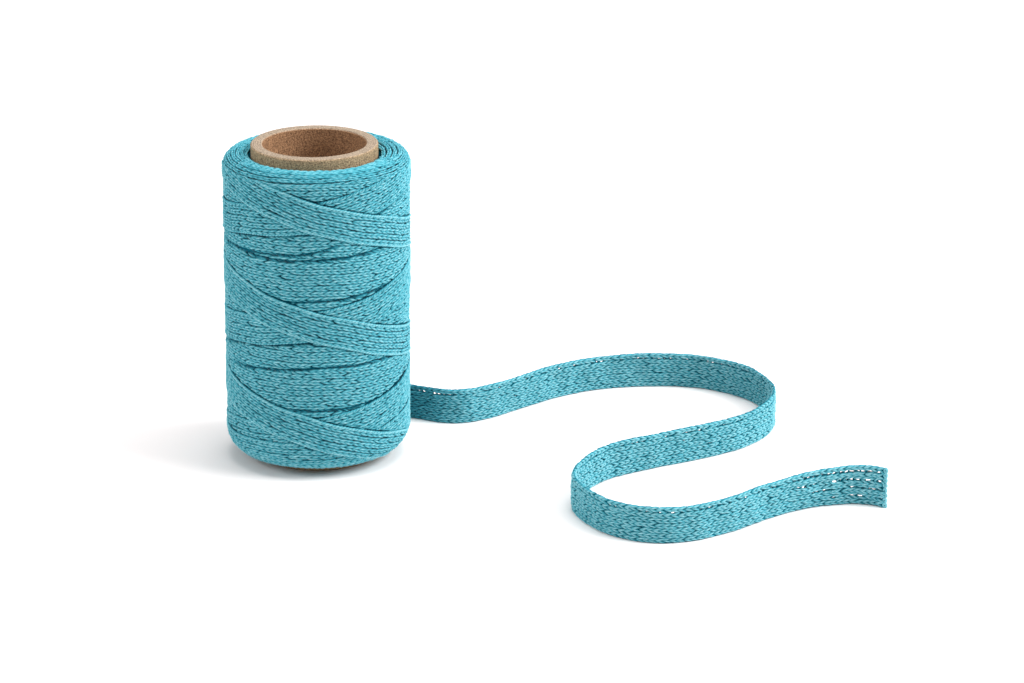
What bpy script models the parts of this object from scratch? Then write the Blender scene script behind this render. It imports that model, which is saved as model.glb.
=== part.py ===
"""A roll of narrow knitted cotton ribbon on a cardboard core, with its free end
run out over the table on edge in one long S.

Three solids: the core tube, the winding with its crossing laps, the loose end.
Lengths are millimetres and angles degrees until a mesh is made in metres.
"""

import math

import bpy
import numpy as np

# Ribbon
RIBBON_WIDE = 10.2
RIBBON_THICK = 1.1
CUT_END_SPREAD = 1.0
CUT_END_LENGTH = 42.0
FIT_GAP = 0.3

# Core tube
CORE_OUTER_R = 17.7
CORE_WALL = 3.3
CORE_TALL = 90.7
CORE_RIM_ROUND = 0.4
CORE_SIDES = 72

# Winding
WOUND_LOW = 1.6
WOUND_HIGH = 87.9
WOUND_R_LOW = 25.7
WOUND_R_HIGH = 26.0
FOOT_ROUND = 7.4
CROWN_TALL = 3.4
CROWN_MIDDLE_R = 21.5
CROWN_REACH_IN = 4.0
CROWN_FULLNESS = 2.6
WOUND_SIDES = 84
WALL_ROWS = 38
FOOT_ROWS = 6
CROWN_ROWS = 8
BORE_ROWS = 4
WOUND_UNEVEN = 0.12

# Laps on the winding: 0 degrees is the front, 90 the right
LAP_PITCH = 31.4
LAP_SEEN = 8.6
LAP_EDGE_SOFT = 1.3
OVER_STEP = 0.85
UNDER_STEP = 0.5
LEVEL_STEP = 0.25
OVER_LAP = (
    # angle_deg, height_mm
    (-90, 57.3),
    (-45, 51.2),
    (0, 45.5),
    (45, 38.9),
    (90, 33.3),
    (180, 29.6),
)
UNDER_LAP = (
    # angle_deg, height_mm
    (-90, 40.0),
    (-45, 42.7),
    (0, 44.9),
    (45, 48.6),
    (90, 55.0),
    (180, 64.0),
)
LEVEL_LAPS = (6.0, 27.0, 59.0, 84.0)

# Loose end: it leaves the back of the winding, then follows these places
HUG_FROM = -145.0
HUG_TO = -174.0
HUG_STEPS = 5
ROUTE = (
    # right_mm, back_mm from the roll's axis
    (10.0, 28.2),
    (18.5, 28.2),
    (26.0, 26.2),
    (34.0, 22.3),
    (41.0, 22.4),
    (49.0, 27.1),
    (58.5, 36.1),
    (68.5, 44.7),
    (80.5, 51.3),
    (96.0, 53.9),
    (108.0, 52.7),
    (118.0, 47.3),
    (125.5, 38.8),
    (129.8, 25.5),
    (127.4, 12.6),
    (119.8, 1.3),
    (107.5, -7.6),
    (92.5, -15.8),
    (80.0, -24.7),
    (73.0, -36.5),
    (71.0, -47.0),
    (74.0, -56.6),
    (81.0, -66.3),
    (91.0, -71.5),
    (102.0, -70.3),
    (113.0, -63.6),
    (124.0, -53.6),
    (135.0, -45.9),
    (146.0, -42.7),
    (153.0, -43.7),
    (157.0, -46.4),
)
STATION_STEP = 3.8
EDGE_ROUND = 0.3
SWAY = 0.22
SWAY_LENGTH = 23.0
TOP_WAVE = 0.15
TOP_WAVE_LENGTH = 17.0

# Colours as seen, 0 to 255
COTTON = (84, 160, 176)
KRAFT = (172, 143, 112)
COTTON_ROUGHNESS = 0.9
KRAFT_ROUGHNESS = 0.85


def linear(colour):
    """The colour as the shader wants it."""
    return tuple(
        c / 255 / 12.92 if c < 11 else ((c / 255 + 0.055) / 1.055) ** 2.4 for c in colour
    )


def material(name, colour, roughness):
    made = bpy.data.materials.new(name)
    made.use_nodes = True
    shader = made.node_tree.nodes["Principled BSDF"]
    shader.inputs["Base Color"].default_value = (*linear(colour), 1.0)
    shader.inputs["Roughness"].default_value = roughness
    shader.inputs["Metallic"].default_value = 0.0
    made.diffuse_color = (*linear(colour), 1.0)
    return made


def ring_faces(rows, columns, rows_close, columns_close):
    """Quads over a grid of points numbered row by row."""
    faces = []
    for row in range(rows if rows_close else rows - 1):
        for column in range(columns if columns_close else columns - 1):
            over = (row + 1) % rows
            on = (column + 1) % columns
            faces.append(
                (
                    row * columns + column,
                    over * columns + column,
                    over * columns + on,
                    row * columns + on,
                )
            )
    return faces


def make(name, points, faces, paint, sharp_above):
    """One closed object, smooth but for its corners."""
    mesh = bpy.data.meshes.new(name)
    mesh.from_pydata([tuple(p / 1000) for p in points], [], faces)
    mesh.validate()
    mesh.materials.append(paint)
    mesh.shade_smooth()
    mesh.set_sharp_from_angle(angle=math.radians(sharp_above))
    made = bpy.data.objects.new(name, mesh)
    bpy.context.scene.collection.objects.link(made)
    return made


def lathe(profile, sides):
    """Points of a closed profile of radius and height, turned about the axis."""
    points = []
    for side in range(sides):
        angle = math.tau * side / sides
        for radius, height in profile:
            points.append((radius * math.sin(angle), -radius * math.cos(angle), height))
    return np.array(points)


def core_profile():
    """Wall of the tube in section, its four rim corners broken."""
    inner = CORE_OUTER_R - CORE_WALL
    c = CORE_RIM_ROUND
    return [
        (inner, c),
        (inner + c, 0.0),
        (CORE_OUTER_R - c, 0.0),
        (CORE_OUTER_R, c),
        (CORE_OUTER_R, CORE_TALL - c),
        (CORE_OUTER_R - c, CORE_TALL),
        (inner + c, CORE_TALL),
        (inner, CORE_TALL - c),
    ]


def wall_radius(height):
    """Radius over the top laps: a little less towards the foot."""
    share = (height - WOUND_LOW) / (WOUND_HIGH - WOUND_LOW)
    return WOUND_R_LOW + (WOUND_R_HIGH - WOUND_R_LOW) * share


def wound_profile():
    """Section of the winding as radius, height and the share of relief it takes."""
    bore = CORE_OUTER_R + FIT_GAP
    foot = wall_radius(WOUND_LOW) - FOOT_ROUND
    shoulder = WOUND_HIGH - CROWN_TALL
    section = [(bore, WOUND_LOW + 0.2, 0.0)]
    for row in range(FOOT_ROWS):
        turn = math.pi / 2 * row / FOOT_ROWS
        section.append(
            (
                foot + FOOT_ROUND * math.sin(turn),
                WOUND_LOW + FOOT_ROUND * (1 - math.cos(turn)),
                row / FOOT_ROWS,
            )
        )
    low = WOUND_LOW + FOOT_ROUND
    for row in range(WALL_ROWS):
        height = low + (shoulder - low) * row / WALL_ROWS
        section.append((wall_radius(height), height, 1.0))
    outer = wall_radius(shoulder)
    for row in range(CROWN_ROWS + 1):
        turn = math.pi * 0.78 * row / CROWN_ROWS
        along = math.cos(turn)
        reach = outer - CROWN_MIDDLE_R if along > 0 else CROWN_REACH_IN
        rise = (1 - abs(along) ** CROWN_FULLNESS) ** (1 / CROWN_FULLNESS)
        radius = max(CROWN_MIDDLE_R + reach * along, bore + 0.05)
        section.append(
            (radius, shoulder + CROWN_TALL * rise, max(0.0, 1 - row / 3))
        )
    top = section[-1][1] - 0.3
    for row in range(BORE_ROWS):
        section.append((bore, top + (WOUND_LOW + 0.2 - top) * row / BORE_ROWS, 0.0))
    return section


def lap_height(lap, angle, falling):
    """Middle of a lap at an angle, the table carried on round the back."""
    turns = math.floor((angle + 90) / 360)
    angles = [row[0] for row in lap] + [270]
    last = lap[0][1] + (-LAP_PITCH if falling else LAP_PITCH)
    heights = [row[1] for row in lap] + [last]
    return float(np.interp(angle - 360 * turns, angles, heights))


def over_edge(distance):
    """1 under a lap, falling to 0 across its soft edge."""
    share = (LAP_SEEN / 2 + LAP_EDGE_SOFT / 2 - abs(distance)) / LAP_EDGE_SOFT
    share = min(1.0, max(0.0, share))
    return share * share * (3 - 2 * share)


def relief(angle, height):
    """How far the laps stand out at a place on the wall."""
    stands = 0.0
    for middle in LEVEL_LAPS:
        stands = max(stands, LEVEL_STEP * over_edge(height - middle))
    for lap, step, falling in (
        (UNDER_LAP, UNDER_STEP, False),
        (OVER_LAP, OVER_STEP, True),
    ):
        middle = lap_height(lap, angle, falling)
        for turn in (-2, -1, 0, 1, 2):
            away = height - middle - turn * LAP_PITCH
            stands = max(stands, step * over_edge(away))
    waver = math.sin(3 * math.radians(angle) + height / 9) * math.sin(height / 7)
    return stands + WOUND_UNEVEN * waver


def wound_points():
    section = wound_profile()
    points = []
    for side in range(WOUND_SIDES):
        angle = 360 * side / WOUND_SIDES
        angle = angle - 360 if angle >= 270 else angle
        turn = math.radians(angle)
        for radius, height, share in section:
            out = radius + share * (relief(angle, height) - OVER_STEP)
            points.append((out * math.sin(turn), -out * math.cos(turn), height))
    return np.array(points), len(section)


def through(places, step):
    """A smooth line through the places, with points an even step apart."""
    places = np.array(places)
    ends = np.vstack(
        [2 * places[0] - places[1], places, 2 * places[-1] - places[-2]]
    )
    line = []
    for i in range(1, len(ends) - 2):
        a, b, c, d = ends[i - 1 : i + 3]
        for t in np.arange(0, 1, 0.05):
            line.append(
                0.5
                * (
                    2 * b
                    + (c - a) * t
                    + (2 * a - 5 * b + 4 * c - d) * t**2
                    + (3 * b - a - 3 * c + d) * t**3
                )
            )
    line = np.array(line + [ends[-2]])
    run = np.concatenate([[0], np.cumsum(np.linalg.norm(np.diff(line, axis=0), axis=1))])
    count = int(round(run[-1] / step)) + 1
    at = np.linspace(0, run[-1], count)
    return np.stack([np.interp(at, run, line[:, k]) for k in (0, 1)], axis=1), at


def loose_points():
    """The ribbon on edge along its route, section by section."""
    hug_r = WOUND_R_HIGH + FIT_GAP + RIBBON_THICK / 2 + 0.15
    places = []
    for angle in np.linspace(HUG_FROM, HUG_TO, HUG_STEPS):
        turn = math.radians(angle)
        places.append((hug_r * math.sin(turn), -hug_r * math.cos(turn)))
    line, at = through(places + list(ROUTE), STATION_STEP)
    along = np.gradient(line, axis=0)
    along /= np.linalg.norm(along, axis=1)[:, None]
    side = np.stack([-along[:, 1], along[:, 0]], axis=1)
    half = RIBBON_THICK / 2
    e = EDGE_ROUND
    points = []
    for i, run in enumerate(at):
        left = at[-1] - run
        spread = CUT_END_SPREAD * max(0.0, 1 - left / CUT_END_LENGTH) ** 2
        wave = TOP_WAVE * math.sin(math.tau * run / TOP_WAVE_LENGTH)
        wide = RIBBON_WIDE + spread + wave
        free = min(1.0, max(0.0, run - 30) / 20)
        sway = free * SWAY * math.sin(math.tau * run / SWAY_LENGTH)
        section = (
            (half - e, 0.0, 0.0),
            (e - half, 0.0, 0.0),
            (-half, e, 0.0),
            (-half, wide * 0.5, sway),
            (-half, wide - e, 0.0),
            (e - half, wide, 0.0),
            (half - e, wide, 0.0),
            (half, wide - e, 0.0),
            (half, wide * 0.5, sway),
            (half, e, 0.0),
        )
        for off, height, lean in section:
            x, y = line[i] + side[i] * (off + lean)
            points.append((x, y, height))
    return np.array(points), len(at), len(section)


for old in list(bpy.data.objects):
    bpy.data.objects.remove(old)

core = core_profile()
core_at = lathe(core, CORE_SIDES)
wound_at, wound_rows = wound_points()
loose_at, stations, corners = loose_points()

# The middle of the whole footprint becomes the origin
everything = np.vstack([core_at, wound_at, loose_at])
low, high = everything.min(axis=0), everything.max(axis=0)
shift = np.array([-(low[0] + high[0]) / 2, -(low[1] + high[1]) / 2, -low[2]])

cotton = material("cotton_wound", COTTON, COTTON_ROUGHNESS)
cotton_loose = material("cotton_loose", COTTON, COTTON_ROUGHNESS)
kraft = material("kraft_board", KRAFT, KRAFT_ROUGHNESS)

make(
    "core_tube",
    core_at + shift,
    ring_faces(CORE_SIDES, len(core), True, True),
    kraft,
    35,
)
make(
    "wound_ribbon",
    wound_at + shift,
    ring_faces(WOUND_SIDES, wound_rows, True, True),
    cotton,
    60,
)
strip = ring_faces(stations, corners, False, True)
first = tuple(range(corners))
last = tuple((stations - 1) * corners + k for k in reversed(range(corners)))
make("loose_end", loose_at + shift, [*strip, first, last], cotton_loose, 50)
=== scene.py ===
# %% [markdown]
# # A roll of knitted cotton ribbon
# The real thing is one long narrow knitted ribbon, wound criss-cross on a tube of
# kraft board, with its last length run out over the table on edge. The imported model
# gives the sizes and places. Here the tube gets its board, the ribbon its stitches.

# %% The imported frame
import math

import bpy
import numpy as np
from mathutils import Matrix, Vector


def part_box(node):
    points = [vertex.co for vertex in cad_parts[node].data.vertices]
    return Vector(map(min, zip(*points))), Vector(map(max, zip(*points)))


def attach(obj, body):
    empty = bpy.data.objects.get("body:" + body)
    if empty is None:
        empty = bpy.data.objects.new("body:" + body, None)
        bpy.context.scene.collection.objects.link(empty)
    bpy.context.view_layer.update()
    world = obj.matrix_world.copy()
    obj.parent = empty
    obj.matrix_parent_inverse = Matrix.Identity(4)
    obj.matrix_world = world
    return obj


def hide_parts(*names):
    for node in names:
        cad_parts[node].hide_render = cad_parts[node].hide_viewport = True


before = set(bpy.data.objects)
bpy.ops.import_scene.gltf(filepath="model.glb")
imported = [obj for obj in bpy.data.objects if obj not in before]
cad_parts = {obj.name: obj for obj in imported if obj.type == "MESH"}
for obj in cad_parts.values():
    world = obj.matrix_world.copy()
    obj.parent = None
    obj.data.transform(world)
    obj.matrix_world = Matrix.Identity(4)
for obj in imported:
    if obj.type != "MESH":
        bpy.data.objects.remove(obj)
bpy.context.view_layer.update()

MM = 0.001
SEED = 7
core_low, core_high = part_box("core_tube")
AXIS = np.array([(core_low[0] + core_high[0]) / 2, (core_low[1] + core_high[1]) / 2, 0.0])
rng = np.random.default_rng(SEED)
print("roll's axis in mm", (AXIS / MM).round(2))

# %% [markdown]
# ## The camera
# A long lens from well back and a little above keeps the roll's sides upright, as a
# catalogue photographer sets it. A short lens close by would make them lean in.

# %% Camera
EYE_RIGHT, EYE_FRONT, EYE_UP = 54.74, 1065.9, 397.1  # mm from the roll's foot
EYE_DOWN = 18.89  # degrees
LENS, SENSOR = 140.6, 36  # mm
NEAREST = 0.05  # m

bpy.ops.object.select_all(action="DESELECT")
bpy.ops.object.camera_add(
    location=AXIS + np.array([EYE_RIGHT, -EYE_FRONT, EYE_UP]) * MM,
    rotation=(math.radians(90 - EYE_DOWN), 0, 0),
)
camera = bpy.context.object
camera.data.sensor_width = SENSOR
camera.data.lens = LENS
camera.data.clip_start = NEAREST
bpy.context.scene.camera = camera
bpy.context.scene.view_settings.view_transform = "Standard"
print("lens of", LENS, "mm, looking", EYE_DOWN, "degrees down")

# %% [markdown]
# ## Light and floor
# A wide window on the right, a white card on the left and a panel overhead give the
# knit its relief without hard shadows. The floor is pale paper that runs on out of
# view, so that only the soft shadows tell where the roll stands.

# %% Soft lights
LIGHTS = (
    # name, right_m, back_m, up_m, size_m, watts
    ("right_window", 1.0, -0.15, 0.8, 0.8, 20.0),
    ("left_card", -1.0, -0.3, 0.6, 0.6, 5.0),
    ("overhead", 0.1, 0.1, 1.2, 0.8, 10.0),
)
LIT_PLACE = (0.0, 0.0, 0.03)  # m
ROOM_LIGHT = 0.42

for name, right, back, up, size, watts in LIGHTS:
    bpy.ops.object.light_add(type="AREA", location=(right, back, up))
    lamp = bpy.context.object
    lamp.name = name
    lamp.data.energy = watts
    lamp.data.size = size
    aim = np.array(LIT_PLACE) - np.array([right, back, up])
    tilt = math.atan2(math.hypot(aim[0], aim[1]), -aim[2])
    lamp.rotation_euler = (tilt, 0, math.atan2(aim[1], aim[0]) - math.pi / 2)

world = bpy.data.worlds.new("studio")
world.use_nodes = True
background = world.node_tree.nodes["Background"]
background.inputs["Color"].default_value = (1, 1, 1, 1)
background.inputs["Strength"].default_value = ROOM_LIGHT
bpy.context.scene.world = world
print(len(LIGHTS), "soft lights")

# %% Paper floor
FLOOR_SIZE = 6  # m
FLOOR_BELOW = 0.00005  # m under the lowest point, so that the two don't flicker
PAPER = (0.955, 0.9, 0.89, 1)
PAPER_ROUGHNESS = 0.8

bpy.ops.mesh.primitive_plane_add(size=FLOOR_SIZE, location=(0, 0, -FLOOR_BELOW))
floor = bpy.context.object
floor.name = "floor"
paper = bpy.data.materials.new("floor_paper")
paper.use_nodes = True
shader = paper.node_tree.nodes["Principled BSDF"]
shader.inputs["Base Color"].default_value = PAPER
shader.inputs["Roughness"].default_value = PAPER_ROUGHNESS
floor.data.materials.append(paper)
print("floor of", FLOOR_SIZE, "m")

# %% [markdown]
# ## Nodes that both materials share
# Cotton and board are both fibre: their colour is never flat, and their surface is
# rough. Both are mixed from the same few nodes, so these get helpers of their own.

# %% Small node helpers
NOISE_DETAIL = 2


def linear(colour):
    """A colour of 0 to 255 as the shader wants it."""
    return tuple(
        c / 255 / 12.92 if c < 11 else ((c / 255 + 0.055) / 1.055) ** 2.4 for c in colour
    ) + (1.0,)


def new_material(name, roughness, specular):
    """A material and its node tree, matt by these two values."""
    made = bpy.data.materials.new(name)
    made.use_nodes = True
    shader = made.node_tree.nodes["Principled BSDF"]
    shader.inputs["Roughness"].default_value = roughness
    shader.inputs["Specular IOR Level"].default_value = specular
    return made, made.node_tree


def noise(tree, scale, place):
    """A soft noise of this scale, read at the place that a socket gives."""
    made = tree.nodes.new("ShaderNodeTexNoise")
    made.inputs["Scale"].default_value = scale
    made.inputs["Detail"].default_value = NOISE_DETAIL
    tree.links.new(place, made.inputs["Vector"])
    return made


def marked(tree, name):
    """The value that a mesh has marked on its points under this name."""
    made = tree.nodes.new("ShaderNodeAttribute")
    made.attribute_name = name
    return made.outputs


def weighted_sum(tree, start, parts):
    """Sockets added up, each times its weight, from a starting value."""
    total = None
    for source, weight in parts:
        more = tree.nodes.new("ShaderNodeMath")
        more.operation = "MULTIPLY_ADD"
        more.inputs[1].default_value = weight
        more.inputs[2].default_value = start
        tree.links.new(source, more.inputs[0])
        if total:
            tree.links.new(total, more.inputs[2])
        total = more.outputs[0]
    return total


def add_bump(tree, height, strength, deep):
    """Relief on the shader from a height socket, deep in metres."""
    bump = tree.nodes.new("ShaderNodeBump")
    bump.inputs["Strength"].default_value = strength
    bump.inputs["Distance"].default_value = deep
    tree.links.new(height, bump.inputs["Height"])
    tree.links.new(bump.outputs["Normal"], tree.nodes["Principled BSDF"].inputs["Normal"])


print("helpers for noise, marks, sums and bumps")

# %% [markdown]
# ## Cotton yarn
# Each stitch is soft two-ply cotton. Its crests get a painted highlight, where the
# fibres stand out and catch the light, and its hollows painted shade, where legs meet.
# One flat colour would look like plastic. So a ramp of four tones is read at a sum of
# strands or flecks, a slow drift over the roll, each stitch's own tone, and its painted
# light and shade, which follows how far each point is raised.

# %% Tones of the cotton
YARN_PALE = (144, 202, 211)
YARN_MIDDLE = (72, 165, 181)
YARN_DEEP = (0, 100, 118)
YARN_SHADE = (0, 52, 66)
# the ground under the stitches is painted deeper than the yarn: painted shade
GROUND_PALE = (0, 108, 128)
GROUND_DEEP = (0, 88, 106)
TONES_AT = (0.02, 0.25, 0.6, 0.98)  # places on the ramp, from shade to pale
TONE_START = -0.175
FLECK_WEIGHT, DRIFT_WEIGHT, STITCH_WEIGHT, PAINTED_LIGHT_WEIGHT = 0.6, 0.06, 0.12, 0.74
DRIFT_SCALE, FIBRE_SCALE = 60, 5200
FIBRE_BUMP, FIBRE_DEEP = 0.5, 0.12 * MM
COTTON_ROUGHNESS, COTTON_SPECULAR, SHEEN_ROUGHNESS = 0.92, 0.08, 0.55


def cotton(name, tones, fleck, sheen, strands=False):
    """Cotton in four tones, with flecks or with strands that follow the yarn."""
    made, tree = new_material(name, COTTON_ROUGHNESS, COTTON_SPECULAR)
    shader = tree.nodes["Principled BSDF"]
    shader.inputs["Sheen Weight"].default_value = sheen
    shader.inputs["Sheen Roughness"].default_value = SHEEN_ROUGHNESS
    where = tree.nodes.new("ShaderNodeTexCoord").outputs["Object"]
    flecks = noise(tree, fleck, marked(tree, "yarn")["Vector"] if strands else where)
    parts = (
        (flecks.outputs["Fac"], FLECK_WEIGHT),
        (noise(tree, DRIFT_SCALE, where).outputs["Fac"], DRIFT_WEIGHT),
        (marked(tree, "tone")["Fac"], STITCH_WEIGHT),
        # painted highlight on crests and painted shade in valleys, grooves and under laps
        (marked(tree, "painted_light")["Fac"], PAINTED_LIGHT_WEIGHT),
    )
    ramp = tree.nodes.new("ShaderNodeValToRGB")
    steps = ramp.color_ramp.elements
    steps[0].position, steps[1].position = TONES_AT[0], TONES_AT[-1]
    for place in TONES_AT[1:-1]:
        steps.new(place)
    for step, tone in zip(steps, tones):
        step.color = linear(tone)
    tree.links.new(weighted_sum(tree, TONE_START, parts), ramp.inputs["Fac"])
    tree.links.new(ramp.outputs["Color"], shader.inputs["Base Color"])
    fibres = noise(tree, FIBRE_SCALE, where)
    add_bump(tree, fibres.outputs["Fac"], FIBRE_BUMP, FIBRE_DEEP)
    return made


# %% The three cottons
STRAND_SCALE, LOOSE_FLECK, GROUND_FLECK = 3.4, 2000, 700
STITCH_SHEEN = 0.1
STITCH_TONES = (YARN_SHADE, YARN_DEEP, YARN_MIDDLE, YARN_PALE)
# the loose end's body and the barrel take the deep tones: painted shade between stitches
LOOSE_TONES = (YARN_DEEP, YARN_DEEP, YARN_DEEP, YARN_MIDDLE)
GROUND_TONES = (GROUND_DEEP, GROUND_DEEP, GROUND_DEEP, GROUND_PALE)

stitch_cotton = cotton("stitch_cotton", STITCH_TONES, STRAND_SCALE, STITCH_SHEEN, strands=True)
loose_cotton = cotton("loose_cotton", LOOSE_TONES, LOOSE_FLECK, 0.0)
ground_cotton = cotton("ground_cotton", GROUND_TONES, GROUND_FLECK, 0.0)
print("three cottons, each of", len(TONES_AT), "tones")

# %% [markdown]
# ## One leg of yarn
# A knitted stitch shows as a V: two legs that lie beside each other at the point and
# part towards the next stitch. A bump map of Vs would do from afar, but not for the
# outline and the open cut end. So one leg is drawn from a small ring, pulled out in
# steps and swelled in the middle. How far each point is raised is kept as painted
# light: the cotton is painted paler on the crest, as a highlight, and deeper where
# legs meet, as shade.

# %% Model one leg
LEG_SIDES = 4
LEG_STEPS = (
    # share of the length, swell
    (0.18, 2.3),
    (0.28, 1.3),
    (0.34, 0.78),
    (0.20, 0.45),
)
LEG_TIP = 0.15  # mm, radius of the tucked tip
# painted light on a leg's sides and at its ends, against 1 on its crest
CREST_LIGHT_SIDE, CREST_LIGHT_END = 0.25, 0.45  # how raised a leg's sides and its ends count


def model_leg():
    """One leg, 1 long about the origin along X: points, faces, painted light of each."""
    bpy.ops.object.select_all(action="DESELECT")
    bpy.ops.mesh.primitive_circle_add(
        vertices=LEG_SIDES,
        radius=LEG_TIP,
        fill_type="NGON",
        location=(-0.5, 0, 0),
        rotation=(0, math.pi / 2, 0),
    )
    bpy.ops.object.transform_apply()
    piece = bpy.context.object
    bpy.ops.object.mode_set(mode="EDIT")
    bpy.ops.mesh.select_all(action="SELECT")
    for share, swell in LEG_STEPS:
        bpy.ops.mesh.extrude_region_move(TRANSFORM_OT_translate={"value": (share, 0, 0)})
        bpy.ops.transform.resize(value=(1, swell, swell))
    bpy.ops.mesh.select_all(action="SELECT")
    bpy.ops.mesh.normals_make_consistent(inside=False)
    bpy.ops.object.mode_set(mode="OBJECT")
    points = np.array([v.co[:] for v in piece.data.vertices])
    faces = [tuple(p.vertices) for p in piece.data.polygons]
    bpy.data.objects.remove(piece)
    top = np.abs(points[:, 2]).max()
    # painted highlight: paler up to the crest, deeper on the sides and at the tucked ends
    crest = np.clip(CREST_LIGHT_SIDE + (1 - CREST_LIGHT_SIDE) * points[:, 2] / top, 0, 1)
    middle = np.clip(np.cos(math.pi * points[:, 0]), 0, 1) ** 0.5
    return points, faces, crest * (CREST_LIGHT_END + (1 - CREST_LIGHT_END) * middle)


leg_points, leg_faces, leg_crest_light = model_leg()
print("one leg:", len(leg_points), "points", len(leg_faces), "faces")

# %% [markdown]
# ## One stitch
# Two copies of the leg, mirrored, make the V. Its sides sink into the valley between
# one column of Vs, called a wale, and the next. A row of Vs is called a course.

# %% One stitch of two legs
LEG_LONG = 1.6  # courses
LEG_ARCH = 0.12  # mm, how far a leg stands out between its tucked ends
LEG_TUCK = 0.06
LEG_OFF = 0.25  # wales, from the V's middle line to the middle of a leg
LEG_SPREAD = 0.31  # wales, how far the legs part
LEG_FLAT = 0.85
WALE_CROWN = 0.15  # mm, how far a wale's middle stands above its sides
# painted shade: a leg is painted deeper beside the valley between two wales
VALLEY_SHADE = 0.4  # how much less a leg shows beside a valley
WALE_DRAWN = 1.62  # mm, the wale that the leg's thickness is drawn for


def ease(share):
    """0 to 1 with soft ends."""
    share = np.clip(share, 0, 1)
    return share * share * (3 - 2 * share)


def stitch(wale, course, long, spread, deep):
    """The legs of one V, along X and across Y in mm, and each point's painted light."""
    legs, painted_lit = [], []
    along = leg_points[:, 0]
    share = ease(along + 0.5)
    for side in (-1, 1):
        across = (LEG_OFF + spread * (share - 0.5)) * wale
        across = across + side * leg_points[:, 1] * wale / WALE_DRAWN
        valley = np.clip(across / wale / 0.5, 0, 1) ** 3
        arch = LEG_ARCH * np.cos(math.pi * along) - LEG_TUCK * (0.5 - along) ** 2
        height = arch - WALE_CROWN * deep * valley + leg_points[:, 2] * LEG_FLAT
        legs.append(np.stack([along * course * long, side * across, height], axis=1))
        # painted shade beside the valley
        painted_lit.append(1 - VALLEY_SHADE * deep * valley)
    return np.array(legs), np.array(painted_lit)


print("a stitch's legs lie", LEG_OFF * WALE_DRAWN, "mm off its middle")

# %% [markdown]
# ## The surface of the winding
# The laps lie on a barrel with a rounded foot and a crowned top. Its section is one
# line from the bore round to the bore again. A place on it is an angle round the
# axis and a distance along that line, which on the wall is simply the height.

# %% Section of the winding
WOUND_LOW, WOUND_HIGH = 1.6, 87.9  # mm
WOUND_R_LOW, WOUND_R_HIGH = 25.7, 26.0
FOOT_ROUND = 7.4
CROWN_TALL, CROWN_MIDDLE_R, CROWN_REACH_IN, CROWN_FULLNESS = 3.4, 21.5, 4.0, 2.6
CROWN_TURN = math.pi * 0.8
BORE_R = 18.0
BORE_CLEAR = 0.1
FOOT_POINTS, CROWN_POINTS = 24, 60


def section_line():
    """Points of radius and height from the foot's bore edge to the top's."""
    line = []
    foot_r = WOUND_R_LOW - FOOT_ROUND
    for turn in np.linspace(0, math.pi / 2, FOOT_POINTS):
        radius = foot_r + FOOT_ROUND * math.sin(turn)
        line.append((radius, WOUND_LOW + FOOT_ROUND * (1 - math.cos(turn))))
    shoulder = WOUND_HIGH - CROWN_TALL
    for turn in np.linspace(0, CROWN_TURN, CROWN_POINTS):
        along = math.cos(turn)
        reach = WOUND_R_HIGH - CROWN_MIDDLE_R if along > 0 else CROWN_REACH_IN
        rise = (1 - abs(along) ** CROWN_FULLNESS) ** (1 / CROWN_FULLNESS)
        radius = max(BORE_R + BORE_CLEAR, CROWN_MIDDLE_R + reach * along)
        line.append((radius, shoulder + CROWN_TALL * rise))
    return np.array(line)


SECTION = section_line()
steps = np.linalg.norm(np.diff(SECTION, axis=0), axis=1)
RUN = np.concatenate([[0], np.cumsum(steps)])
RUN = RUN - RUN[FOOT_POINTS - 1] + WOUND_LOW + FOOT_ROUND
way = np.gradient(SECTION, axis=0)
way /= np.linalg.norm(way, axis=1)[:, None]
OUTWARD = np.stack([way[:, 1], -way[:, 0]], axis=1)
print("section runs from", RUN[0].round(1), "to", RUN[-1].round(1), "mm")

# %% Places on the winding
LEAN_LOW, LEAN_HIGH = -0.2, 0.5  # mm to the right, the winding off its core's axis
LEAN_FROM, LEAN_OVER = 0.3, 3.0  # mm out from the bore, where the lean sets in


def lean_at(r, z):
    """How far the winding sits to the right of its axis, in mm; nothing at the bore."""
    full = LEAN_LOW + (LEAN_HIGH - LEAN_LOW) * z / WOUND_HIGH
    return full * np.clip((r - BORE_R - LEAN_FROM) / LEAN_OVER, 0, 1)


def on_winding(angle, run, lift):
    """World points for angles in degrees, runs and lifts in mm."""
    r = np.interp(run, RUN, SECTION[:, 0]) + lift * np.interp(run, RUN, OUTWARD[:, 0])
    z = np.interp(run, RUN, SECTION[:, 1]) + lift * np.interp(run, RUN, OUTWARD[:, 1])
    turn = np.radians(angle)
    r = np.maximum(r, BORE_R + BORE_CLEAR / 2)
    x = r * np.sin(turn) + lean_at(r, z)
    return AXIS + np.stack([x, -r * np.cos(turn), z], axis=-1) * MM


print("the winding leans", LEAN_HIGH, "mm to the right at its top")

# %% [markdown]
# ## The laps
# Level laps lie lowest, laps that rise to the right cross over them, and laps that
# fall to the right lie on top, one turn every 31 mm. The last low lap goes round the
# foot to the back, where the loose end leaves. Each is a short table of heights read
# off the photo, because a winding laid under uneven pull follows no plain formula.

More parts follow.
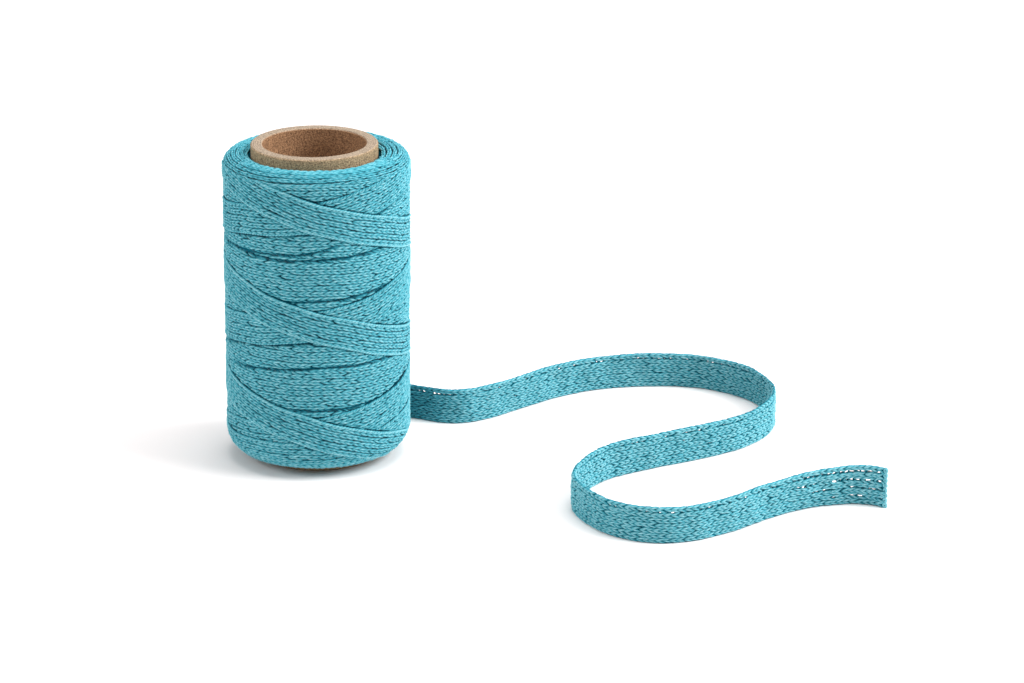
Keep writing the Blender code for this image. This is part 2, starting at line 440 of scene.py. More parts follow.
# %% Tables of the laps
PITCH = 31.4
R_LAP = 26.0
RISING = (
    # angle_deg, height_mm
    (-90, 40.0),
    (-45, 42.7),
    (0, 44.9),
    (45, 48.6),
    (90, 55.0),
    (180, 64.0),
)
FALLING = (
    # angle_deg, height_mm
    (-90, 57.3),
    (-45, 51.2),
    (0, 45.5),
    (45, 38.9),
    (90, 33.3),
    (180, 29.6),
)
LAST_LAP = (
    # angle_deg, height_mm
    (-142, 5.1),
    (-90, 5.5),
    (-45, 6.0),
    (0, 6.8),
    (30, 8.0),
    (75, 11.0),
    (120, 16.0),
    (180, 22.6),
    (225, 26.4),
    (245, 27.0),
)
LEVEL_LOW, LEVEL_HIGH, LEVEL_WALES = -1.8, 86.2, 55  # mm, mm, all level laps as one
LEVEL_SAGS = (
    # mm, waves in a turn
    (0.45, 1),
    (0.2, 2),
)
WALE = 1.62
COURSE = 1.95
LAP_WALES = 5
print("laps are", LAP_WALES * WALE, "mm wide")

# %% Middle lines of the laps
TURNS = 3  # each way from the table's own turn
HELIX_STEPS, LAST_STEPS = 1400, 240
SMOOTHED_OVER = 51  # steps
PAST_ENDS = 4  # mm that a lap runs on past the winding's section
LEVEL_ENDS = (-180.0, 180.0)
LEVEL_SPARE = 20  # degrees of middle line past either end, for stitches that reach over


def helix(table, rises):
    """A lap's angle and height over all its turns, from a table of one turn."""
    angles, heights = [], []
    for turn in range(-TURNS, TURNS + 1):
        for angle, height in table:
            angles.append(angle + 360 * turn)
            heights.append(height + (PITCH if rises else -PITCH) * turn)
    order = np.linspace(angles[0], angles[-1], HELIX_STEPS)
    line = np.interp(order, angles, heights)
    padded = np.pad(line, SMOOTHED_OVER // 2, mode="edge")
    smooth = np.convolve(padded, np.ones(SMOOTHED_OVER) / SMOOTHED_OVER, "valid")
    keep = (smooth > RUN[0] - PAST_ENDS) & (smooth < WOUND_HIGH + PAST_ENDS)
    return order[keep], smooth[keep]


def level(height):
    """A band that goes straight round, with a little sag in it."""
    reach = LEVEL_ENDS[1] + LEVEL_SPARE
    angles = np.linspace(-reach, reach, round(2 * reach) + 1)
    sag = sum(deep * np.sin(waves * (np.radians(angles) + height)) for deep, waves in LEVEL_SAGS)
    return angles, height + sag


def lap(line, wales, wale, ends=None):
    """A lap from its middle line: its lean, its run in mm, its width and its ends."""
    angles, heights = line
    x = np.radians(angles) * R_LAP
    run = np.concatenate([[0], np.cumsum(np.hypot(np.diff(x), np.diff(heights)))])
    return {
        "angles": angles,
        "heights": heights,
        "lean": np.gradient(heights, x),
        "run": run,
        "wales": wales,
        "wale": wale,
        "half": wales * wale / 2,
        "ends": ends or (angles[0], angles[-1]),
    }


last_angles = np.linspace(LAST_LAP[0][0], LAST_LAP[-1][0], LAST_STEPS)
last_heights = np.interp(last_angles, *zip(*LAST_LAP))
level_line = level((LEVEL_LOW + LEVEL_HIGH) / 2)
level_wale = (LEVEL_HIGH - LEVEL_LOW) / LEVEL_WALES
LAPS = {
    "level": lap(level_line, LEVEL_WALES, level_wale, LEVEL_ENDS),
    "rising": lap(helix(RISING, True), LAP_WALES, WALE),
    "last": lap((last_angles, last_heights), LAP_WALES, WALE),
    "falling": lap(helix(FALLING, False), LAP_WALES, WALE),
}
for kind, made in LAPS.items():
    print(kind, "laps run for", made["run"][-1].round(), "mm")

# %% [markdown]
# ## Where laps cross
# A lap hides what lies under it, and dents it beside its edges. So each stitch asks
# how deep inside the higher laps it lies, and sinks by that, with painted shade where
# it dives. The level laps are one band here, so the creases between them are drawn as
# grooves instead, with painted shade in them.

# %% Which laps lie over a place
FAR_OFF = 99.0  # mm, for a place that no turn of a lap comes near
NO_LAP = 1e3  # mm, a height that stands for no lap at this angle
OVER_IT = {
    "level": ("rising", "last", "falling"),
    "rising": ("last", "falling"),
    "last": ("falling",),
    "falling": (),
}
CREASES = {
    # lap: mm left bare over its upper edge, mm under its lower edge
    "rising": (0.30, 0.55),
    "last": (0.25, 0.10),
    "falling": (0.40, 0.25),
}


def away_from(lap, angle, run):
    """Distance in mm from a lap's middle line, squarely across it."""
    best = np.full(np.shape(angle), FAR_OFF)
    for turn in range(-TURNS - 1, TURNS + 2):
        at = angle + 360 * turn
        height = np.interp(at, lap["angles"], lap["heights"], left=NO_LAP, right=NO_LAP)
        lean = np.interp(at, lap["angles"], lap["lean"])
        off = (run - height) / np.sqrt(1 + lean**2)
        best = np.where(np.abs(off) < np.abs(best), off, best)
    return best


def inside_of(kind, angle, run, above, below):
    """How far a place lies inside a lap and its creases, in mm, negative outside."""
    off = away_from(LAPS[kind], angle, run)
    half = LAPS[kind]["half"]
    return np.minimum(half + above - off, half + below + off)


print("falling laps lie over", [kind for kind, over in OVER_IT.items() if "falling" in over])

# %% Grooves between the level laps
GROOVES = (
    # ribbon edges within the level laps: angle_deg, height_mm along each
    ((-100, 67), (-68, 64.8), (-48, 65.1), (-18, 65.6), (-8, 65.8), (6, 67), (20, 69.4)),
    ((-60, 65), (-35, 64.2), (-18, 63.9), (2, 64.3), (20, 64.7), (45, 65.7), (70, 67)),
    ((-105, 34.2), (-77, 35.1), (-63, 36.6), (-43, 38.3), (-19, 39.7), (0, 40.8), (14, 40.2)),
    ((-30, 53.2), (-18, 52.2), (-1, 52.4), (20, 52.8), (40, 54.0), (58, 55.2)),
    ((-66, 30.6), (-48, 31), (-15, 32.5), (2, 33.2), (32, 33.2), (47, 33.3), (75, 33.5)),
    ((-22, 21), (2, 20.6), (22, 20.8), (42, 21.9), (52, 23), (62, 24.2), (85, 29)),
)
GROOVE_DEEP, GROOVE_WIDE = 0.8, 0.33  # mm
# painted shade in a groove
GROOVE_SHADE = 0.3
GROOVE_FADE = 12  # degrees over which a groove runs out


def in_groove(groove, angle, height, ragged):
    """How far a place is sunk in a groove, from 0 to 1."""
    marks, heights = zip(*groove)
    off = (height - np.interp(angle, marks, heights) + ragged) / GROOVE_WIDE
    ends = np.minimum(angle - marks[0], marks[-1] - angle) / GROOVE_FADE
    return np.exp(-(off**2)) * np.clip(ends, 0, 1)


print(len(GROOVES), "grooves")

# %% [markdown]
# ## Knitting flat
# The ribbon is knitted flat first: a grid of stitches, five wales across, each a
# little different in tone and place, as hand-fed cotton is. Along both edges the knit
# pulls up into a twisted cord, which is what marks a lap against the one below.

# %% Flat strip of stitches
STITCH_OFF = (0.12, 0.07, 0.05)  # mm, how far a stitch is off along, across and up
LEG_SLANT, LEG_SLIP = 0.04, 0.12
STITCH_TONE, TONE_VARIES = 0.5, 0.3


def strip(courses, wales, wale, course, *form):
    """All legs of a flat strip, with the tone and the painted light of each."""
    one, one_painted_lit = stitch(wale, course, *form)
    many, tones, painted_lit = [], [], []
    starts = rng.uniform(0, course, wales)
    for row in range(courses):
        for column in range(wales):
            middle = (column - (wales - 1) / 2) * wale
            place = np.array([row * course + starts[column], middle, 0.0])
            place += rng.normal(0, STITCH_OFF)
            turned = one.copy()
            turned[..., 1] += rng.normal(0, LEG_SLANT, (len(one), 1)) * one[..., 0]
            turned[..., 0] += rng.normal(0, LEG_SLIP, (len(one), 1))
            many.append(turned + place)
            tones.append(rng.normal(STITCH_TONE, TONE_VARIES, len(one)))
            painted_lit.append(one_painted_lit)
    return np.concatenate(many), np.concatenate(tones), np.concatenate(painted_lit)


print("a wale of", WALE, "mm and a course of", COURSE, "mm")

# %% Cords along the edges
EDGE_IN = 0.1  # mm from a lap's edge in to its cord
CORD_LEG = 0.85  # courses
CORD_THICK = 0.95
CORD_SLANT, CORD_UP = 0.5, 0.05  # mm
CORD_TONES = {"rising": -0.4, "last": 0.0, "falling": 1.0}
CORD_VARIES = 0.45
# painted shade on a cord's sides
CORD_SHADE = 0.6


def edge_cords(courses, half, course, tone):
    """A twisted cord of short slanting legs along both edges, where they pull up."""
    many = []
    for step in range(2 * courses):
        for side in (-1, 1):
            leg = leg_points * (course * CORD_LEG, CORD_THICK, CORD_THICK)
            leg[:, 1] += CORD_SLANT * leg_points[:, 0]
            leg[:, 2] += LEG_ARCH * np.cos(math.pi * leg_points[:, 0])
            leg += (step * course / 2, side * half, CORD_UP)
            many.append(leg)
    many = np.array(many)
    across = np.abs(np.abs(many[..., 1]) - half)
    # painted shade, deeper away from the cord's line
    painted_lit = 1 - CORD_SHADE * np.clip(across / CORD_SLANT, 0, 1) ** 2
    return many, rng.normal(tone, CORD_VARIES, len(many)), painted_lit


print("cords on", ", ".join(CORD_TONES), "laps")

# %% [markdown]
# ## Joining the legs
# Thousands of legs as objects of their own would be slow to draw and to export, so
# those of one lap become one mesh. Each keeps its tone, its painted light and shade,
# and its own place in the cotton's noise, stretched along the yarn so that it makes
# strands and twisted a little like the plies.

# %% Join legs into one piece
PLY_TWIST = 0.5
STRAND_LONG = 0.45
NOISE_REACH = 90  # far enough that no two legs share a strand


def new_piece(name, points, edges, faces):
    """An object with its own mesh, in the scene."""
    mesh = bpy.data.meshes.new(name)
    mesh.from_pydata(points, edges, faces)
    piece = bpy.data.objects.new(name, mesh)
    bpy.context.scene.collection.objects.link(piece)
    return piece


def mark_points(mesh, name, kind, field, values):
    """Mark values on the points of a mesh, for the material to read."""
    mesh.attributes.new(name, kind, "POINT").data.foreach_set(field, values)


def put_together(name, legs, tones, painted_lit, material):
    """Join legs into one object; each has a tone, and its points their painted light."""
    count, size = legs.shape[:2]
    faces = [tuple(k + size * i for k in face) for i in range(count) for face in leg_faces]
    piece = new_piece(name, legs.reshape(-1, 3).tolist(), [], faces)
    piece.data.shade_smooth()
    mark_points(piece.data, "tone", "FLOAT", "value", np.repeat(tones, size))
    # painted light: the crest highlight times the painted shade of valleys, dives and grooves
    mark_points(piece.data, "painted_light", "FLOAT", "value", (leg_crest_light * painted_lit).ravel())
    yarn = leg_points * (STRAND_LONG, 1, 1)
    yarn[:, 1] += PLY_TWIST * yarn[:, 0]
    yarn = yarn + rng.uniform(0, NOISE_REACH, (count, 1, 3))
    mark_points(piece.data, "yarn", "FLOAT_VECTOR", "vector", yarn.ravel())
    piece.data.materials.append(material)
    triangles = count * sum(len(face) - 2 for face in leg_faces)
    print(name, count, "legs", triangles, "triangles")
    return piece


# %% [markdown]
# ## Laying the strips on the winding
# Each flat strip is bent along its lap's middle line and pressed onto the section.
# Stitches that would be buried under a higher lap are left out, because nobody sees
# them, and those at its edges dive under it.

# %% Bend a strip onto its lap
WANDERS = (
    # mm, mm along the lap for each radian, share of the lap's own start
    (0.16, 6.1, 1),
    (0.1, 2.7, 2),
)
SECTION_MARGIN = 0.4  # mm left bare at the foot's bore edge
RING_FROM = 85.8  # mm along the section, where the top's rings take over
BURIED = 0.9  # mm inside a higher lap, from where a stitch is left out


def bend_onto(lap, u, v):
    """Angles and runs of points u along and v across a lap, with a small wander."""
    x = np.radians(lap["angles"]) * R_LAP
    tilt = np.interp(u, lap["run"], np.arctan(lap["lean"]))
    angle = np.degrees((np.interp(u, lap["run"], x) - v * np.sin(tilt)) / R_LAP)
    start = lap["heights"][0]
    wander = sum(wide * np.sin(u / per + times * start) for wide, per, times in WANDERS)
    return angle, np.interp(u, lap["run"], lap["heights"]) + v * np.cos(tilt) + wander


def that_show(kind, angle, height):
    """Which stitches of a lap lie on the section and under no other lap."""
    keep = (height > RUN[0] + SECTION_MARGIN) & (height < RING_FROM)
    for over in OVER_IT[kind]:
        keep &= inside_of(over, angle, height, *CREASES[over]) < BURIED
    return keep


print("laps stop", RING_FROM, "mm along the section")

# %% Sink stitches under what crosses them
LIFTS = {"level": -0.35, "rising": -0.18, "last": -0.12, "falling": -0.15}  # mm
STACK_RISE, STACK_OVER = 0.2, 4  # mm up, mm across, where a falling lap climbs a rising one
DIVE, DIVE_OVER = 0.75, 0.5  # mm that a stitch sinks to pass under a lap, and how soon
# painted shade on stitches that dive under a lap
DIVE_SHADE = 0.22
RAGGED = 0.09  # mm, how unevenly the stitches sink beside a lap
EDGE_SOFT, EDGE_TOP_DROP, EDGE_LOW_DROP = 0.9, 0.12, 0.02  # mm


def sink(kind, angle, height, legs, painted_lit):
    """Lift of each point off the section, and its painted light, shaded where it sinks."""
    lift = LIFTS[kind] + legs[..., 2]
    ragged = rng.normal(0, RAGGED, (len(lift), 1))
    if kind == "falling":
        under = inside_of("rising", angle, height, 0.0, 0.0)
        lift = lift + STACK_RISE * ease(0.5 + under / STACK_OVER)
    for over in OVER_IT[kind]:
        inside = inside_of(over, angle, height, *CREASES[over])
        hidden = ease(0.5 + (inside + ragged) / DIVE_OVER)
        lift = lift - DIVE * hidden
        # painted shade where the stitch dives under the lap
        painted_lit = painted_lit * (1 - hidden) - DIVE_SHADE * hidden
    if kind == "level":
        for groove in GROOVES:
            sunk = in_groove(groove, angle, height, ragged)
            lift = lift - GROOVE_DEEP * sunk
            # painted shade in the groove
            painted_lit = painted_lit * (1 - sunk) - GROOVE_SHADE * sunk
        return lift, painted_lit
    half = LAPS[kind]["half"]
    near_top = np.clip(1 - (half - legs[..., 1]) / EDGE_SOFT, 0, 1)
    near_low = np.clip(1 - (half + legs[..., 1]) / EDGE_SOFT, 0, 1)
    return lift - EDGE_TOP_DROP * near_top**2 - EDGE_LOW_DROP * near_low**2, painted_lit


print("stitches dive", DIVE, "mm under a lap")

# %% Knit every lap
FORMS = {
    # lap: leg's length in courses, legs' spread in wales, depth of the valleys
    "level": (LEG_LONG, LEG_SPREAD, 1.0),
    "rising": (LEG_LONG, 0.28, 1.3),
    "last": (LEG_LONG, 0.28, 1.3),
    "falling": (LEG_LONG, 0.26, 1.6),
}


def knit_lap(kind):
    """All stitches of a lap that show: world points, tones, and their painted light."""
    lap = LAPS[kind]
    start, end = np.interp(lap["ends"], lap["angles"], lap["run"])
    courses = round((end - start) / COURSE)
    course = (end - start) / courses
    knitted = strip(courses, lap["wales"], lap["wale"], course, *FORMS[kind])
    if kind in CORD_TONES:
        cords = edge_cords(courses, lap["half"] - EDGE_IN, course, CORD_TONES[kind])
        knitted = [np.concatenate(both) for both in zip(knitted, cords)]
    legs, tones, painted_lit = knitted
    angle, height = bend_onto(lap, legs[..., 0] + start, legs[..., 1])
    keep = that_show(kind, angle.mean(axis=1), height.mean(axis=1))
    angle, height = angle[keep], height[keep]
    lift, painted_lit = sink(kind, angle, height, legs[keep], painted_lit[keep])
    return on_winding(angle, height, lift), tones[keep], painted_lit


def knit(kind, *names):
    """All stitches of a kind, as one piece a name, shared out from low to high."""
    legs, tones, painted_lit = knit_lap(kind)
    share = legs[..., 2].mean(axis=1) / (WOUND_HIGH * MM) * len(names)
    share = np.clip(share.astype(int), 0, len(names) - 1)
    for number, name in enumerate(names):
        here = share == number
        piece = put_together(name, legs[here], tones[here], painted_lit[here], stitch_cotton)
        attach(piece, "root")


knit("level", "low_level_lap_stitches", "high_level_lap_stitches")
knit("rising", "rising_lap_stitches")
knit("last", "last_lap_stitches")
knit("falling", "falling_lap_stitches")

# %% [markdown]
# ## Rings of the top
# From above, each layer of the winding shows as one ring of edge stitches, packed
# side by side over the crown from the shoulder in to the core. A ring is a strip one
# wale wide, closed round the axis. Its sides fall away and get painted shade, which
# parts it from the next.

# %% Edge rings
RING_APART = 1.3
RING_WALE = 1.4
RING_FORM = (LEG_LONG, 0.2, 1.8)
RING_ROUND = 0.32  # mm, how far a ring's sides fall away
# painted shade on a ring's sides
RING_SHADE = 0.75
RING_LIFTS = (-0.34, -0.26)  # mm, in turn
RING_PARTED, PARTED_MORE = 0.3, 0.3  # the outer rings still lie flat in the wall
CROWN_RISE, CROWN_RISE_OVER = 0.45, 4  # mm that the inner rings stand up, and how soon
RING_WANDERS = (
    # mm, waves in a turn, radians on from ring to ring
    (0.2, 2, 0.5),
    (0.09, 5, 1.1),
)


def edge_ring(count, ring_run):
    """One ring of the crown: world points, tones, and their painted light, shaded at its sides.
    """
    radius = float(np.interp(ring_run, RUN, SECTION[:, 0]))
    courses = int(math.tau * radius / COURSE)
    course = math.tau * radius / courses
    legs, tones, painted_lit = strip(courses, 1, RING_WALE, course, *RING_FORM)
    turn = legs[..., 0] / radius
    wander = sum(wide * np.sin(waves * turn + count * on) for wide, waves, on in RING_WANDERS)
    parted = min(1.0, RING_PARTED + PARTED_MORE * count)
    side = np.clip(np.abs(legs[..., 1]) / (RING_WALE / 2), 0, 1) ** 2
    rise = CROWN_RISE * ease((ring_run - RING_FROM) / CROWN_RISE_OVER)
    lift = RING_LIFTS[count % 2] + rise + legs[..., 2] - RING_ROUND * parted * side
    placed = on_winding(np.degrees(turn), ring_run + legs[..., 1] + wander, lift)
    # painted shade on the ring's sides
    return placed, tones, painted_lit * (1 - RING_SHADE * parted * side)


rings = [
    edge_ring(count, ring_run)
    for count, ring_run in enumerate(np.arange(RING_FROM - 0.1, RUN[-1] + 0.2, RING_APART))
]
legs, tones, painted_lit = (np.concatenate(part) for part in zip(*rings))
top_rings = put_together("top_ring_stitches", legs, tones, painted_lit, stitch_cotton)
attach(top_rings, "root")
print(len(rings), "rings")

# %% [markdown]
# ## What lies under the stitches
# Between the stitches the eye meets the shaded layers below. They are one barrel. It
# could be a cylinder pushed into shape. Here the section's own line, a little further
# in and closed along the bore, is turned round the axis by a Screw modifier, so that
# the barrel always fits the stitches on it.

# %% Inner barrel
BARREL_IN = 0.8  # mm
BARREL_CLEAR = 0.12  # mm off the core
BARREL_TURNED_IN = 0.5  # mm that the bore wall starts from either end
BARREL_STEPS = 96
MERGED_WITHIN = 1e-6  # m


def apply_modifier(piece, name):
    """Select one piece alone and apply its modifier."""
    bpy.ops.object.select_all(action="DESELECT")
    bpy.context.view_layer.objects.active = piece
    piece.select_set(True)
    bpy.ops.object.modifier_apply(modifier=name)


inner = BORE_R + BARREL_CLEAR
line = SECTION[::2] - BARREL_IN * OUTWARD[::2]
line[:, 0] = np.maximum(line[:, 0], inner)
top, foot = line[-1, 1] - BARREL_TURNED_IN, line[0, 1] + BARREL_TURNED_IN
line = np.vstack([line, (inner, top), (inner, foot)])
outline = [(i, (i + 1) % len(line)) for i in range(len(line))]
barrel = new_piece("inner_barrel", [(r * MM, 0, z * MM) for r, z in line], outline, [])
turned = barrel.modifiers.new("turned", "SCREW")
turned.steps = BARREL_STEPS
turned.render_steps = BARREL_STEPS
turned.use_merge_vertices = True
turned.merge_threshold = MERGED_WITHIN
apply_modifier(barrel, "turned")
bpy.ops.object.mode_set(mode="EDIT")
bpy.ops.mesh.select_all(action="SELECT")
bpy.ops.mesh.remove_doubles(threshold=MERGED_WITHIN)
bpy.ops.mesh.normals_make_consistent(inside=False)
bpy.ops.object.mode_set(mode="OBJECT")
for vertex in barrel.data.vertices:
    x, y, z = vertex.co / MM
    vertex.co.x += lean_at(math.hypot(x, y), z) * MM
    vertex.co += Vector(AXIS)
bpy.ops.object.shade_smooth()
# its deep tones are painted shade of the layers below
barrel.data.materials.append(ground_cotton)
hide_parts("wound_ribbon")
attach(barrel, "root")
print("inner barrel", len(barrel.data.polygons), "faces")

# %% [markdown]
# ## The loose end
# The last length of the ribbon stands on its edge on the table. It comes off the back
# of the winding, first lying on it and then standing free. Its route is a list of
# places, measured off the photo where it shows, and joined by one smooth line. A cloth
# simulation would let it fall over, where the real tape stands.

# %% Route of the loose end
HUG_FROM, HUG_TO, HUG_STEPS = -138.0, -174.0, 6  # degrees
HUG_OUT = 1.0  # mm that it has come off the winding by then
ROUTE = (
    # right_mm, back_mm from the roll's axis
    (10.0, 28.2),
    (18.5, 28.2),
    (26.0, 26.2),
    (34.0, 22.3),
    (41.0, 22.4),
    (49.0, 27.1),
    (58.5, 36.1),
    (68.5, 44.7),
    (80.5, 51.3),
    (96.0, 53.9),
    (108.0, 52.7),
    (118.0, 47.3),
    (125.5, 38.8),
    (129.8, 25.5),
    (127.4, 12.6),
    (119.8, 1.3),
    (107.5, -7.6),
    (92.5, -15.8),
    (80.0, -24.7),
    (73.0, -36.5),
    (71.0, -47.0),
    (74.0, -56.6),
    (81.0, -66.3),
    (91.0, -71.5),
    (102.0, -70.3),
    (113.0, -63.6),
    (124.0, -53.6),
    (135.0, -45.9),
    (146.0, -42.7),
    (152.8, -43.6),
    (156.5, -46.1),
)
LOOSE_RIGHT = 0.6  # mm, how far the free length lies to the right of its route
RIGHT_SOON = 5  # it lies there in full after a fifth of its length
CURVE_STEP = 0.04


def smooth_line(places):
    """A smooth line through the places, finely stepped."""
    places = np.array(places)
    ends = np.vstack([2 * places[0] - places[1], places, 2 * places[-1] - places[-2]])
    line = []
    for i in range(1, len(ends) - 2):
        a, b, c, d = ends[i - 1 : i + 3]
        for t in np.arange(0, 1, CURVE_STEP):
            bow = (2 * a - 5 * b + 4 * c - d) * t**2 + (3 * b - a - 3 * c + d) * t**3
            line.append(0.5 * (2 * b + (c - a) * t + bow))
    line.append(ends[-2])
    return np.array(line)


hug = []
for share in np.linspace(0, 1, HUG_STEPS):
    turn = math.radians(HUG_FROM + (HUG_TO - HUG_FROM) * share)
    r = R_LAP + HUG_OUT * share
    hug.append((r * math.sin(turn), -r * math.cos(turn)))
TRACK = smooth_line(hug + list(ROUTE))
TRACK[:, 0] += LOOSE_RIGHT * ease(np.arange(len(TRACK)) / len(TRACK) * RIGHT_SOON)
TRACK_RUN = np.concatenate([[0], np.cumsum(np.linalg.norm(np.diff(TRACK, axis=0), axis=1))])
heading = np.gradient(TRACK, axis=0)
heading /= np.linalg.norm(heading, axis=1)[:, None]
TRACK_SIDE = np.stack([-heading[:, 1], heading[:, 0]], axis=1)
LOOSE_LONG = TRACK_RUN[-1]
print("loose end is", LOOSE_LONG.round(1), "mm long")

# %% Places on the loose end
RIBBON_WIDE = 10.2
CUT_END_SPREAD, CUT_END_LENGTH = 1.5, 42.0  # mm wider at the cut, and how soon
JOIN_LONG = 15.0  # mm over which it comes away from the winding and stands up
JOIN_LOW, JOIN_WIDE, JOIN_IN = 1.1, 8.1, 0.42  # mm, its place on the winding
JOIN_TUCK, JOIN_TUCK_LONG = 0.3, 2  # mm deeper at its very start, and how long
FREE_FROM, FREE_OVER = 30, 20  # mm along, where it begins to sway
SWAYS = (
    # mm to a side, mm for a wave
    (0.3, 23),
    (0.2, 9.3),
)
EDGE_WAVES = (
    # mm up, mm along for each radian, radians at the start
    (0.05, 2.7, 0),
    (0.08, 4.9, 1),
)


def standing_place(along, across, out):
    """World points of the loose end as it stands on the table."""
    left = np.clip(1 - (LOOSE_LONG - along) / CUT_END_LENGTH, 0, 1.2)
    wave = sum(high * np.sin(along / per + start) for high, per, start in EDGE_WAVES)
    wide = RIBBON_WIDE + CUT_END_SPREAD * left**2 + wave * np.clip(across, 0, 1)
    sway = sum(far * np.sin(math.tau * along / wave_long) for far, wave_long in SWAYS)
    free = np.clip((along - FREE_FROM) / FREE_OVER, 0, 1)
    out = out + free * sway * np.sin(math.pi * across)
    beyond = np.clip(along - LOOSE_LONG, 0, None)
    x, y = (
        np.interp(along, TRACK_RUN, TRACK[:, k])
        + out * np.interp(along, TRACK_RUN, TRACK_SIDE[:, k])
        + beyond * heading[-1, k]
        for k in (0, 1)
    )
    return AXIS + np.stack([x, y, across * wide], axis=-1) * MM


def on_track(along, across, out):
    """World points of the loose end: along it, up its width from 0 to 1, off its face."""
    share = np.clip(along / JOIN_LONG, 0, 1)
    angle = HUG_FROM + (HUG_TO - HUG_FROM) * share
    sunk = JOIN_IN + JOIN_TUCK * np.clip(1 - along / JOIN_TUCK_LONG, 0, 1)
    wound = on_winding(angle, JOIN_LOW + JOIN_WIDE * across, out - sunk)
    away = ease(share)[..., None]
    return wound * (1 - away) + standing_place(along, across, out) * away


print("it leaves the winding over", JOIN_LONG, "mm")

# %% [markdown]
# ## Eyelets
# Where the knit is stretched, small holes open between the stitches: a row of them
# under the upper edge all along, and four rows near the cut, where the knitting has
# been pulled open. Holes cut by a Boolean would have hard rims. Here the cells of the
# ground are left out, and the legs of yarn are bent round each hole.

# %% Where the eyelets are
EYELET_ROWS = (
    # share of the width, chance far from the cut, chance at the cut, size
    (1.5 / 7, 0.02, 0.8, 1.1),
    (3 / 7, 0.04, 1.0, 0.88),
    (4.5 / 7, 0.03, 1.0, 1.15),
    (6 / 7, 0.65, 1.0, 0.95),
)
EYELETS_FROM, EYELETS_SHORT, EYELET_APART = 24.0, 0.8, 1.6  # mm
EYELET_LONG, EYELET_TALL = 0.66, 0.5  # mm from an eyelet's middle to its yarns
OPENED, OPENED_LONG = 0.32, 34  # how much larger an eyelet is at the cut, and over how many mm
SIZE_FROM, SIZE_TO = 0.85, 1.1
EYELET_OFF = 0.2  # mm

eyelets = []
for share, far, near, size in EYELET_ROWS:
    for place in np.arange(EYELETS_FROM, LOOSE_LONG - EYELETS_SHORT, EYELET_APART):
        to_cut = float(np.clip(1 - (LOOSE_LONG - place) / OPENED_LONG, 0, 1))
        if rng.uniform() < far + (near - far) * to_cut:
            grown = size * (rng.uniform(SIZE_FROM, SIZE_TO) + OPENED * to_cut**2)
            eyelets.append((place + rng.normal(0, EYELET_OFF), share, grown))
print(len(eyelets), "eyelets")

# %% Bend legs round the eyelets
PUSH_NEAR = 4  # mm along, beyond which an eyelet moves nothing
PUSH_SOFT = 2
PUSH_ALONG = 0.5  # how much less the yarns move along than across


def pulled_open(along, across):
    """Bend the legs round the eyelets: shifts along and across in mm for each ring."""
    rings = np.unique(leg_points[:, 0].round(3), return_inverse=True)[1]
    members = np.eye(rings.max() + 1)[rings]
    spread = members / members.sum(axis=0) @ members.T
    x, y = along @ spread, across @ spread
    move_x, move_y = np.zeros_like(x), np.zeros_like(y)
    for place, share, grown in eyelets:
        near = np.abs(x - place) < PUSH_NEAR
        long, tall = EYELET_LONG * grown, EYELET_TALL * grown
        dx = (x[near] - place) / long
        dy = (y[near] - (share - 0.5) * RIBBON_WIDE) / tall
        away = np.hypot(dx, dy) + 1e-6
        push = np.sqrt(away**2 + np.exp(-((away / PUSH_SOFT) ** 2))) / away - 1
        move_x[near] += dx * push * long * PUSH_ALONG
        move_y[near] += dy * push * tall
    return move_x, move_y


print("an eyelet is", 2 * EYELET_LONG, "mm long and", 2 * EYELET_TALL, "mm tall")

# %% [markdown]
# ## Ground of the loose end
# Behind the stitches of either face lies the body of the knit. It is a thin sheet,
# laid along the route as a grid, with the cells at the eyelets left out, and a
# Solidify modifier gives it its thickness.

# %% Ground cloth with its eyelets open
GROUND_STEP = 0.45  # mm
GROUND_ROWS = 30
GROUND_FROM, GROUND_TO = 0.004, 0.985  # shares of the width
GROUND_SHORT = 0.6  # mm that it ends before the cut
GROUND_THICK = 0.36  # mm
HOLE_SHARE = 0.7  # how much of an eyelet's length the ground leaves open


def open_cells(columns, along):
    """The cells of the ground that lie in an eyelet."""
    cells = set()
    for place, share, grown in eyelets:
        row = int(share * GROUND_ROWS - 0.5)
        for i in range(columns):
            if abs(along[i] + GROUND_STEP / 2 - place) < EYELET_LONG * grown * HOLE_SHARE:
                cells |= {(i, row), (i, row + 1)}
    return cells


columns = int(LOOSE_LONG / GROUND_STEP)
along = np.linspace(0, LOOSE_LONG - GROUND_SHORT, columns + 1)
across = np.linspace(GROUND_FROM, GROUND_TO, GROUND_ROWS + 1)
grid_u, grid_v = np.meshgrid(along, across, indexing="ij")
ground_points = on_track(grid_u, grid_v, np.zeros_like(grid_u)).reshape(-1, 3)
holes = open_cells(columns, along)
corners = [
    i * (GROUND_ROWS + 1) + j
    for i in range(columns)
    for j in range(GROUND_ROWS)
    if (i, j) not in holes
]
faces = [(a, a + GROUND_ROWS + 1, a + GROUND_ROWS + 2, a + 1) for a in corners]
loose_ground = new_piece("loose_end_ground", ground_points.tolist(), [], faces)
thick = loose_ground.modifiers.new("thick", "SOLIDIFY")
thick.thickness = GROUND_THICK * MM
thick.offset = 0
apply_modifier(loose_ground, "thick")
bpy.ops.object.shade_smooth()
# its deep tones are painted shade between the stitches
loose_ground.data.materials.append(loose_cotton)
print("loose ground", len(loose_ground.data.polygons), "faces", len(holes), "open cells")

# %% [markdown]
# ## The cut end
# Cutting across knit leaves the last course as open loops. One small ring of yarn is
# modelled and copied up the cut, each copy turned and stretched a little its own way.

# %% Loops of the cut end
LOOP_ROUND, LOOP_YARN = 0.42, 0.36  # mm, radius of a loop and of its yarn
LOOP_COUNT = 8
LOOP_BACK = 0.5  # mm from the cut
LOOP_TURNS = 0.15  # radians
LOOP_STRETCH = (1.0, 1.25)
